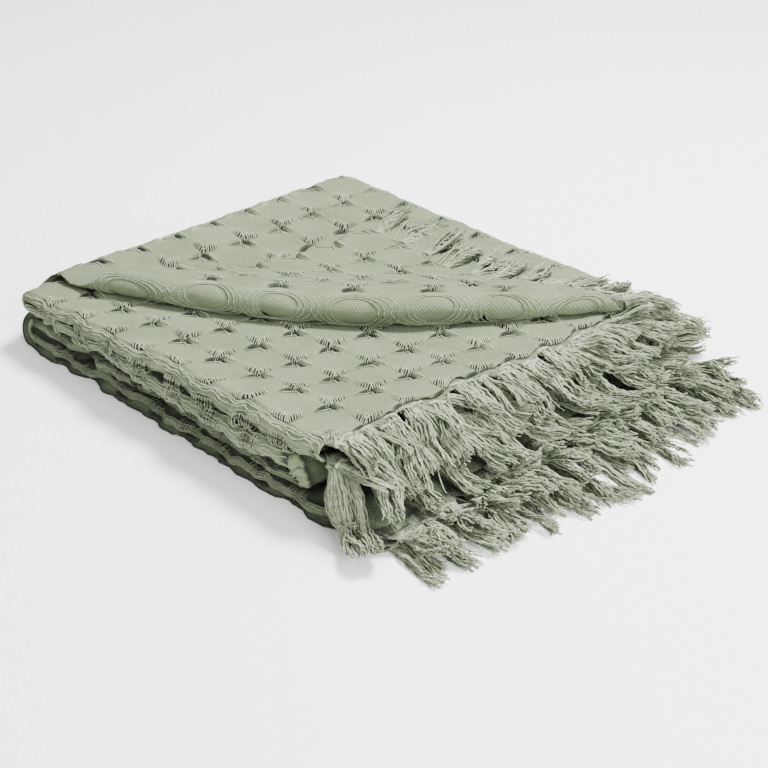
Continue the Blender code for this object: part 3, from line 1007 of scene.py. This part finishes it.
def make_selvedges(finish):
    """The thick outer threads of the two selvedges."""
    strands = Strands(4)
    for width in (0.003, 4.997):
        for offset in (0.0, 0.004):
            inward = offset if width < 1.0 else -offset
            steps = range(SELVEDGE_STEPS + 1)
            points = [surface(width + inward, 7.0 * k / SELVEDGE_STEPS)[0] for k in steps]
            strands.add(points, SELVEDGE_YARN, tip=1.0)
    return strands.make("selvedge_threads", finish)


class FringedEdge:
    """One fringed edge of the folded cloth and the yarns that hang from it."""

    def __init__(self, sizes):
        self.sizes = sizes
        self.run = sizes["run"]
        self.first_width = 2.0 * sizes["third"]
        self.end = 7.0 if self.run == TOP_RUN else 0.0
        self.outward = 1.0 if self.run == TOP_RUN else -1.0
        self.on_top_layer = self.run == TOP_RUN and sizes["third"] == 0
        self.chance = random.Random(sizes["name"])
        self.strands = Strands(3)

    def point(self, share, out):
        """A plan point of the edge at a share of its third, and out from it as the cloth would go on."""
        width = self.first_width + share
        reach = front_of(self.run, width) - BACK_X
        spot = cloth_point(width, self.end + self.outward * out / reach)
        return spot + drift(spot, width, self.end)

    def height(self, spot, root, turned, drop):
        height = root.z
        if turned:
            away = (spot - root).to_2d().length
            above = root.z - layer_height(TOP_RUN, 0, root.x, root.y)
            above = blend(above, FLAP_REST, ease(away / TURNED_SETTLE))
            height = layer_height(TOP_RUN, 0, spot.x, spot.y) + above
        beyond = max(spot.x - RUNS[self.run]["front"], spot.y - PANEL_WIDTH - SIDE_MARGIN, 0.0)
        fall, lift = drop
        return max(blend(height, self.sizes["rest"] + lift, ease(beyond / fall)), LOCK_THICKNESS / 2.0)

    def heading(self, share, root):
        if self.on_top_layer:
            for (low, first), (high, second) in zip(TURNED_HEADINGS, TURNED_HEADINGS[1:]):
                if share <= high:
                    return radians(blend(first, second, (share - low) / (high - low)))
        far = clamp(root.y / PANEL_WIDTH)
        return radians(self.sizes["splay"] * far ** 3 - NEAR_SPLAY * (1.0 - far) ** 4)

    def turned_aside(self, share, root, sway):
        """The heading of a lock that turns aside, but not far over the near side of the pile."""
        heading = self.heading(share, root) + radians(sway * self.sizes["sway"])
        return heading if self.on_top_layer else max(heading, radians(LEAST_HEADING))

    def root_shares(self):
        count = self.sizes["locks"]
        if self.on_top_layer:
            pitch = EDGE_PARTS // count
            return [(1.5 + pitch * k) / EDGE_PARTS for k in range(count)]
        return [(k + 0.5) / count for k in range(count)]

    def drop(self):
        """Over what distance a lock falls, and how high it ends above the tier's rest."""
        return self.chance.uniform(*self.sizes["fall"]), self.chance.uniform(*self.sizes["lift"])

    def path(self, root, angle, length, turned, drop):
        """The middle line of a lock: a point each PATH_STEP of its length, and its side direction."""
        heading = Vector((cos(angle), sin(angle), 0.0))
        side = Vector((-heading.y, heading.x, 0.0))
        place, travelled = root.copy(), 0.0
        line = [place]
        since = 0.0
        while travelled < length:
            before = place
            place = before + heading * STRIDE
            place.z = self.height(place, root, turned, drop)
            moved = (place - before).length
            travelled += moved
            since += moved
            if since >= PATH_STEP:
                line.append(place)
                since = 0.0
        return line, side

    def lock(self, share, angle, length, spread, yarns, drop, raised=0.0):
        """A knotted lock: its yarns come together from the edge, and part into clumps in the tuft."""
        chance = self.chance
        turned = self.on_top_layer and share < LAST_TURNED
        root = self.point(share, chance.uniform(-0.001, 0.006))
        line, side = self.path(root, angle, length * 1.05, turned, drop)
        if side.dot(self.point(share + 0.01, 0.0) - self.point(share - 0.01, 0.0)) < 0.0:
            side = -side
        frames = []
        for k in range(len(line)):
            way = (line[min(k + 1, len(line) - 1)] - line[max(k - 1, 0)]).normalized()
            up = side.cross(way).normalized()
            frames.append(up if up.z > 0.0 else -up)
        pitch = 0.5 / self.sizes["locks"] * min(spread / self.sizes["spread"], 1.2)
        clumps = [self.clump(n) for n in range(CLUMPS)]
        bend = chance.uniform(-1.0, 1.0) * self.sizes["bend"]
        neck = self.sizes["neck"]
        flick = chance.uniform(*self.sizes["flick"])
        for n in range(yarns):
            clump = clumps[n * CLUMPS // yarns]
            lane = (n + 0.5) / yarns * 2.0 - 1.0 + chance.uniform(-0.15, 0.15)
            start_share = clamp(share + lane * pitch * 1.08, 0.004, 0.996)
            start = self.point(start_share, -chance.uniform(*YARN_START)) - ORIGIN
            start.z += chance.uniform(0.4, 2.0) * MM
            points = [start, self.point(start_share, 0.001) - ORIGIN]
            keep = int(len(line) * chance.uniform(0.91, 1.0) * clump["length"])
            around, out = chance.uniform(0.0, 6.3), sqrt(chance.random())
            wave, crimp = self.crimp()
            stray, curl = chance.gauss(0.0, STRAY), chance.gauss(0.0, CURL)
            for k in range(1, keep):
                gone = k * PATH_STEP
                opened = ease((gone - KNOT_AT) / OPENS_OVER)
                fray = clamp((gone - FRAY_FROM * length) / (FRAY_OVER * length)) ** 2
                size = blend(*CLUMP_SIZE, opened)
                wander = clump["wave"] * sin(gone * clump["pace"] + clump["phase"]) * opened
                rise = clump["wave"] * cos(gone * clump["pace"] * 0.8 + clump["phase"]) * opened
                twist = around + gone * clump["twist"]
                across = clump["lane"] * spread * blend(neck, 1.0, opened) * (0.8 + 0.2 * gone / length)
                across += out * size * cos(twist) + wander + wave * sin(gone * crimp + around)
                across += stray * fray + bend * (gone / length) ** 2
                rise += (clump["layer"] * CLUMP_LAYER + raised) * opened + out * size * 0.9 * sin(twist)
                rise += wave * cos(gone * crimp + around) + curl * fray + flick * (gone / length) ** 3
                spot = line[k] + side * across + frames[k] * rise
                spot.z = max(spot.z, CLEAR_OF_FLOOR)
                points.append(spot - ORIGIN)
            # Painted shade: darker for yarns low in the lock, and by a random amount for each yarn; more
            # at the roots
            deep = 0.30 * clamp(0.5 - out * sin(around)) + chance.uniform(0.0, 0.38)
            shade = (ROOT_PAINTED_SHADES + [deep] * len(points))[:len(points)]
            self.strands.add(points, chance.uniform(*YARN_RADIUS) * MM, tip=0.7, hollow=shade)
        self.knot(line, side, neck * spread)

    def crimp(self):
        """Height and pace of the small waves that a yarn keeps from the weave."""
        return self.chance.uniform(0.35, 1.0) * MM, self.chance.uniform(380.0, 680.0)

    def clump(self, number):
        """A part of a lock's tuft, whose yarns keep together."""
        chance = self.chance
        return {
            "lane": (number + 0.5) / CLUMPS * 2.0 - 1.0 + chance.uniform(-0.22, 0.22),
            "layer": chance.uniform(-1.0, 1.7),
            "length": chance.uniform(0.93, 1.0),
            "wave": chance.uniform(0.7, 2.8) * MM,
            "pace": chance.uniform(60.0, 120.0),
            "phase": chance.uniform(0.0, 6.3),
            "twist": chance.uniform(-60.0, 60.0),
        }

    def knot(self, line, side, half_width):
        """The knot: a yarn wound round the lock."""
        middle = line[1]
        way = (line[3] - line[0]).normalized()
        up = side.cross(way).normalized()
        points = []
        last = 12 * KNOT_RINGS
        for k in range(last + 1):
            angle = 2.0 * pi * k / 12
            around = side * ((half_width + 1.6 * MM) * cos(angle)) + up * (2.6 * MM * sin(angle))
            points.append(middle + way * ((k / last - 0.5) * 2.4 * MM) + around - ORIGIN)
        for point in points:
            point.z = max(point.z, CLEAR_OF_FLOOR)
        self.strands.add(points, 0.8 * MM, tip=1.0)

    def loose(self, share):
        """A stray yarn between the locks."""
        chance = self.chance
        root = self.point(share, 0.006)
        turned = self.on_top_layer and share < LAST_TURNED
        angle = self.heading(share, root) + radians(chance.gauss(0.0, 16.0))
        length = self.length(root) * chance.uniform(0.45, 0.95)
        line, side = self.path(root, angle, length, turned, self.drop())
        phase = chance.uniform(0.0, 6.3)
        wave = chance.uniform(1.0, 3.5) * MM
        points = [self.point(share, -0.003) - ORIGIN]
        for k, place in enumerate(line):
            gone = k * PATH_STEP
            spot = place + side * (wave * sin(gone * 60.0 + phase) * ease(gone / 0.03))
            spot.z += (2.5 + chance.uniform(-0.4, 0.4)) * MM * ease(gone / 0.02)
            points.append(spot - ORIGIN)
        self.strands.add(points, 0.6 * MM, tip=0.6)

    def length(self, root):
        result = self.sizes["length"]
        if self.run != TOP_RUN:
            result *= blend(*LOWER_LENGTHS, ease(root.y / PANEL_WIDTH * 2.0))
        return result

    def make(self, finish):
        corner = [row[1:] for row in CORNER_LOCKS if row[0] == self.sizes["name"]]
        spread, yarns = self.sizes["spread"], self.sizes["yarns"]
        for share in self.root_shares():
            root = self.point(share, 0.006)
            if self.run == TOP_RUN and root.y < CORNER_REACH:
                continue
            heading = self.turned_aside(share, root, self.chance.uniform(-1.0, 1.0))
            length = self.length(root) * self.chance.uniform(0.90, 1.08)
            wide = spread * self.chance.uniform(0.75, 1.15)
            self.lock(share, heading, length, wide, yarns, self.drop())
        for k in range(self.sizes["shorts"]):
            share = (k + self.chance.uniform(0.2, 0.8)) / self.sizes["shorts"]
            root = self.point(share, 0.006)
            heading = self.turned_aside(share, root, self.chance.gauss(0.0, 1.2))
            length = self.length(root) * self.chance.uniform(*SHORT_LENGTH)
            number = int(yarns * SHORT_YARNS)
            self.lock(share, heading, length, spread * 0.85, number, self.drop(), SHORT_RISE)
        for share, length, heading, fall, half_width, number in corner:
            self.lock(share, radians(heading), length, half_width, number, (fall, 0.0))
        for _ in range(self.sizes["loose"]):
            self.loose(self.chance.uniform(0.02, 0.98))
        return self.strands.make(self.sizes["name"] + "_yarns", finish)


def set_inputs(tree, node, inputs):
    """Sets a node's inputs to numbers and colours, or links them to other nodes' outputs."""
    for socket, value in inputs.items():
        if isinstance(value, bpy.types.NodeSocket):
            tree.links.new(value, node.inputs[socket])
        else:
            node.inputs[socket].default_value = value


def add_node(tree, kind, inputs, **settings):
    node = tree.nodes.new("ShaderNode" + kind)
    for name, value in settings.items():
        setattr(node, name, value)
    set_inputs(tree, node, inputs)
    return node


def material(name, inputs):
    result = bpy.data.materials.new(name)
    result.use_nodes = True
    set_inputs(result.node_tree, result.node_tree.nodes["Principled BSDF"], inputs)
    return result


def cotton(name, colours, fleck, weave):
    """Matt cotton: slow and fine colour variation, painted shade from a point attribute, and the bump of a
    weave or of a plied yarn.
    """
    result = material(name, {
        "Roughness": 0.95, "Specular IOR Level": 0.15, "Sheen Weight": 0.05, "Sheen Roughness": 0.6,
    })
    tree = result.node_tree
    place = add_node(tree, "TexCoord", {}).outputs
    slow = add_node(tree, "TexNoise", {"Vector": place["Object"], "Scale": 22.0, "Detail": 4.0})
    fine = add_node(tree, "TexNoise", {"Vector": place["Object"], "Scale": fleck, "Detail": 3.0})
    slow_part = add_node(tree, "Math", {0: slow.outputs["Fac"], 1: 0.45}, operation="MULTIPLY")
    both_inputs = {0: fine.outputs["Fac"], 1: 0.55, 2: slow_part.outputs[0]}
    both = add_node(tree, "Math", both_inputs, operation="MULTIPLY_ADD")
    ramp = add_node(tree, "ValToRGB", {"Fac": both.outputs[0]})
    light, dark = colours
    for element, position, colour in zip(ramp.color_ramp.elements, (0.30, 0.68), (dark, light)):
        element.position = position
        element.color = (*colour, 1.0)

    # Painted shade: the point attribute darkens the colour towards the painted-shade colour
    between = add_node(tree, "Attribute", {}, attribute_name="hollow")
    low, high = (0.32, 0.95) if weave else (-0.25, 1.25)
    sharpen_inputs = {"Value": between.outputs["Fac"], "From Min": low, "From Max": high}
    sharpen = add_node(tree, "MapRange", sharpen_inputs, interpolation_type="SMOOTHSTEP")
    painted_shade_mix = add_node(tree, "MixRGB", {
        "Fac": sharpen.outputs["Result"], "Color1": ramp.outputs["Color"], "Color2": (*PAINTED_SHADE_COLOUR, 1.0),
    })

    if weave:
        bands = []
        for direction in "XY":
            threads = {"Vector": place["UV"], "Scale": 135.0, "Distortion": 1.2, "Detail Scale": 1.5}
            bands.append(add_node(tree, "TexWave", threads, wave_type="BANDS", bands_direction=direction))
        both_ways = {0: bands[0].outputs["Fac"], 1: bands[1].outputs["Fac"]}
        height = add_node(tree, "Math", both_ways, operation="MAXIMUM").outputs[0]
    else:
        height = add_node(tree, "TexNoise", {"Vector": place["Object"], "Scale": 900.0}).outputs["Fac"]
    bump = add_node(tree, "Bump", {"Strength": 0.8, "Distance": 0.0009, "Height": height})
    set_inputs(tree, tree.nodes["Principled BSDF"], {
        "Base Color": painted_shade_mix.outputs["Color"], "Normal": bump.outputs["Normal"],
    })
    return result


def area_light(name, place, size, power):
    """A round light that points to the middle of the pile."""
    data = bpy.data.lights.new(name, "AREA")
    data.shape = "DISK"
    data.size = size
    data.energy = power
    lamp = add_object(name, data)
    lamp.location = place
    lamp.rotation_euler = (-Vector(place)).to_track_quat("-Z", "Y").to_euler()


def make_studio():
    reach = 6.0
    corners = [(-reach, -reach, 0.0), (reach, -reach, 0.0), (reach, reach, 0.0), (-reach, reach, 0.0)]
    mesh = bpy.data.meshes.new("floor")
    mesh.from_pydata(corners, [], [(0, 1, 2, 3)])
    mesh.materials.append(material("studio_floor", {
        "Base Color": (*FLOOR_COLOUR, 1.0), "Roughness": 0.9, "Specular IOR Level": 0.1,
    }))
    add_object("floor", mesh)
    world = bpy.data.worlds.new("studio")
    world.use_nodes = True
    background = world.node_tree.nodes["Background"]
    set_inputs(world.node_tree, background, {"Color": (1.0, 1.0, 1.0, 1.0), "Strength": 0.95})
    bpy.context.scene.world = world
    area_light("key", (0.25, 0.75, 1.95), 0.7, 175.0)
    area_light("fill", (1.6, -0.45, 0.9), 1.4, 58.0)


def make_camera():
    data = bpy.data.cameras.new("camera")
    data.sensor_width = SENSOR
    data.sensor_fit = "HORIZONTAL"
    data.lens = FOCAL_PIXELS / IMAGE_PIXELS * SENSOR
    data.shift_x = -(CENTRE_PIXEL[0] - IMAGE_PIXELS / 2.0) / IMAGE_PIXELS
    data.shift_y = (CENTRE_PIXEL[1] - IMAGE_PIXELS / 2.0) / IMAGE_PIXELS
    camera = add_object("camera", data)
    flat = cos(ELEVATION)
    look = Vector((-sin(AZIMUTH) * flat, cos(AZIMUTH) * flat, -sin(ELEVATION)))
    camera.location = AIM - ORIGIN - look * DISTANCE
    camera.rotation_euler = look.to_track_quat("-Z", "Y").to_euler()
    bpy.context.scene.camera = camera


make_camera()
make_studio()

woven = cotton("woven_sage_cotton", WOVEN_COLOURS, 700.0, True)
yarn = cotton("plied_sage_yarn", YARN_COLOURS, 260.0, False)

cloth = make_sheet(woven)
details = [make_floats(yarn), make_side_floats(yarn), make_selvedges(yarn)]
fringes = [FringedEdge(sizes).make(yarn) for sizes in FRINGES]

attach(cloth, "root")
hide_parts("cloth")
for piece in details:
    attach(piece, "root")
for sizes, piece in zip(FRINGES, fringes):
    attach(piece, "root")
    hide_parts(sizes["name"])
